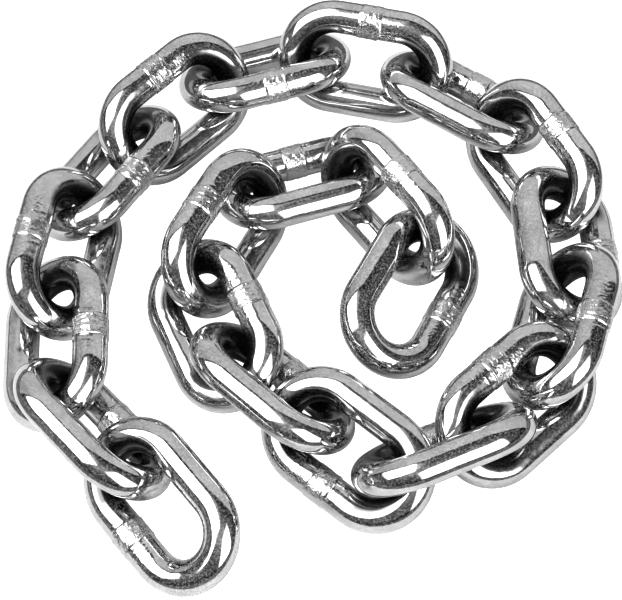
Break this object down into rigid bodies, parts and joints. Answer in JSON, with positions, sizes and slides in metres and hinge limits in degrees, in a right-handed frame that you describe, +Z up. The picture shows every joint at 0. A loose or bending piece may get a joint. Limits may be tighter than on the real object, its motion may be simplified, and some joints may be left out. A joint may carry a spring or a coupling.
{
  "type": "anchor chain",
  "caption": "Short-link anchor chain lead of welded round-bar links, lying in a loose clockwise coil.",
  "frame": {"origin": "on the surface that the chain lies on, under the middle of the coil's bounding box", "axes": "+Z up, square to the surface; the outer end link lies towards -X and -Y and the coil turns clockwise from it seen from above"},
  "size_m": [0.1424, 0.1482, 0.0267],
  "materials": {
    "polished_stainless": "mirror polished stainless steel bar, bright and slightly rippled, with a duller crinkled band at each weld"
  },
  "bodies": {
    "link_01": {"link_01": "polished_stainless"},
    "link_02": {"link_02": "polished_stainless"},
    "link_03": {"link_03": "polished_stainless"},
    "link_04": {"link_04": "polished_stainless"},
    "link_05": {"link_05": "polished_stainless"},
    "link_06": {"link_06": "polished_stainless"},
    "link_07": {"link_07": "polished_stainless"},
    "link_08": {"link_08": "polished_stainless"},
    "link_09": {"link_09": "polished_stainless"},
    "link_10": {"link_10": "polished_stainless"},
    "link_11": {"link_11": "polished_stainless"},
    "link_12": {"link_12": "polished_stainless"},
    "link_13": {"link_13": "polished_stainless"},
    "link_14": {"link_14": "polished_stainless"},
    "link_15": {"link_15": "polished_stainless"},
    "link_16": {"link_16": "polished_stainless"},
    "link_17": {"link_17": "polished_stainless"},
    "link_18": {"link_18": "polished_stainless"},
    "link_19": {"link_19": "polished_stainless"},
    "link_20": {"link_20": "polished_stainless"},
    "link_21": {"link_21": "polished_stainless"}
  },
  "joints": [
    {"name": "link_01_swing", "type": "hinge", "parent": "link_02", "child": "link_01", "pos_m": [-0.03686, -0.05009, 0.01185], "axis": [0, 0, -1], "range_deg": [-27, 4]},
    {"name": "link_02_swing", "type": "hinge", "parent": "link_03", "child": "link_02", "pos_m": [-0.05794, -0.03253, 0.00945], "axis": [0, 0, 1], "range_deg": [-16, 7]},
    {"name": "link_03_swing", "type": "hinge", "parent": "link_04", "child": "link_03", "pos_m": [-0.06043, -0.01, 0.01119], "axis": [0, 0, -1], "range_deg": [-14, 5]},
    {"name": "link_04_swing", "type": "hinge", "parent": "link_05", "child": "link_04", "pos_m": [-0.05897, 0.01595, 0.00959], "axis": [0, 0, 1], "range_deg": [-14, 11]},
    {"name": "link_05_swing", "type": "hinge", "parent": "link_06", "child": "link_05", "pos_m": [-0.04584, 0.03478, 0.01131], "axis": [0, 0, -1], "range_deg": [-10, 13]},
    {"name": "link_06_swing", "type": "hinge", "parent": "link_07", "child": "link_06", "pos_m": [-0.02898, 0.05421, 0.00945], "axis": [0, 0, 1], "range_deg": [-19, 7]},
    {"name": "link_07_swing", "type": "hinge", "parent": "link_08", "child": "link_07", "pos_m": [-0.005, 0.06403, 0.01188], "axis": [0, 0, -1], "range_deg": [-7, 12]},
    {"name": "link_08_swing", "type": "hinge", "parent": "link_09", "child": "link_08", "pos_m": [0.02073, 0.05973, 0.00989], "axis": [0, 0, 1], "range_deg": [-15, 7]},
    {"name": "link_09_swing", "type": "hinge", "parent": "link_10", "child": "link_09", "pos_m": [0.04289, 0.04764, 0.01155], "axis": [0, 0, -1], "range_deg": [-8, 21]},
    {"name": "link_10_swing", "type": "hinge", "parent": "link_11", "child": "link_10", "pos_m": [0.05688, 0.0271, 0.00945], "axis": [0, 0, 1], "range_deg": [-15, 8]},
    {"name": "link_12_swing", "type": "hinge", "parent": "link_11", "child": "link_12", "pos_m": [0.05932, -0.00782, 0.00945], "axis": [0, 0, 1], "range_deg": [-7, 10]},
    {"name": "link_13_swing", "type": "hinge", "parent": "link_12", "child": "link_13", "pos_m": [0.05006, -0.02831, 0.01131], "axis": [0, 0, -1], "range_deg": [-14, 4]},
    {"name": "link_14_swing", "type": "hinge", "parent": "link_13", "child": "link_14", "pos_m": [0.03167, -0.04254, 0.00988], "axis": [0, 0, 1], "range_deg": [-3, 13]},
    {"name": "link_15_swing", "type": "hinge", "parent": "link_14", "child": "link_15", "pos_m": [0.01174, -0.04943, 0.01259], "axis": [0, 0, -1], "range_deg": [-14, 5]},
    {"name": "link_16_swing", "type": "hinge", "parent": "link_15", "child": "link_16", "pos_m": [-0.00646, -0.03024, 0.00975], "axis": [0, 0, 1], "range_deg": [-14, 4]},
    {"name": "link_17_swing", "type": "hinge", "parent": "link_16", "child": "link_17", "pos_m": [-0.02266, -0.01535, 0.01125], "axis": [0, 0, -1], "range_deg": [-12, 12]},
    {"name": "link_18_swing", "type": "hinge", "parent": "link_17", "child": "link_18", "pos_m": [-0.03007, 0.00552, 0.00915], "axis": [0, 0, 1], "range_deg": [-8, 16]},
    {"name": "link_19_swing", "type": "hinge", "parent": "link_18", "child": "link_19", "pos_m": [-0.01245, 0.02738, 0.01229], "axis": [0, 0, -1], "range_deg": [-12, 10]},
    {"name": "link_20_swing", "type": "hinge", "parent": "link_19", "child": "link_20", "pos_m": [0.01383, 0.03298, 0.00899], "axis": [0, 0, 1], "range_deg": [-6, 14]},
    {"name": "link_21_swing", "type": "hinge", "parent": "link_20", "child": "link_21", "pos_m": [0.02698, 0.00496, 0.0132], "axis": [0, 0, -1], "range_deg": [-37, 19]}
  ]
}
